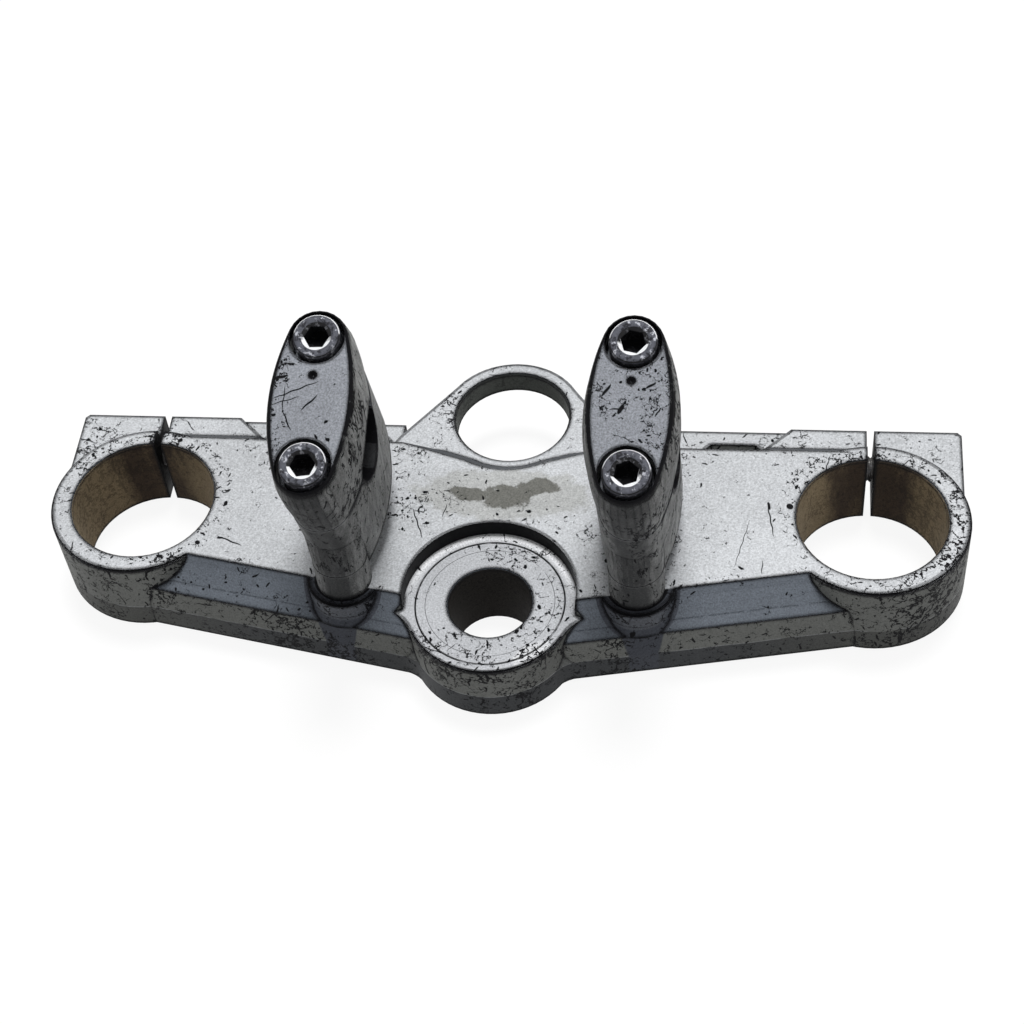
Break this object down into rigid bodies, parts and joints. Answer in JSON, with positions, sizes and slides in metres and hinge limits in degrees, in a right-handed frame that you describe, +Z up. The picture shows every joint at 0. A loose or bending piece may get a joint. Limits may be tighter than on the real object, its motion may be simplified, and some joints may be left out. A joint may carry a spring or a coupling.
{
  "type": "motorcycle triple clamp",
  "caption": "Motorcycle top yoke: silver plate with slotted fork clamps, stem boss and key switch wing, carrying two leaning handlebar risers with oval bolted caps.",
  "frame": {"origin": "on the steering stem axis at the underside of the stem boss, the lowest face, on which the part rests", "axes": "+X across the bike towards the right fork clamp as seen in the picture, +Y from the stem towards the key switch wing, +Z up along the stem and fork axes"},
  "size_m": [0.2736, 0.1163, 0.1088],
  "materials": {
    "silver_yoke": "cast aluminium in worn silver paint, chipped to dark metal on the edges and scratched all over",
    "silver_riser": "cast aluminium in worn darker silver paint, edges chipped black",
    "bolt_steel": "zinc plated steel, slightly tarnished"
  },
  "bodies": {
    "root": {"yoke": "silver_yoke", "riser_left": "silver_riser", "riser_right": "silver_riser", "cap_left": "silver_riser", "cap_right": "silver_riser", "cap_bolt_left_front": "bolt_steel", "cap_bolt_left_rear": "bolt_steel", "cap_bolt_right_front": "bolt_steel", "cap_bolt_right_rear": "bolt_steel", "foot_bolt_left": "bolt_steel", "foot_bolt_right": "bolt_steel", "pinch_bolt_left": "bolt_steel", "pinch_bolt_right": "bolt_steel"}
  },
  "joints": []
}
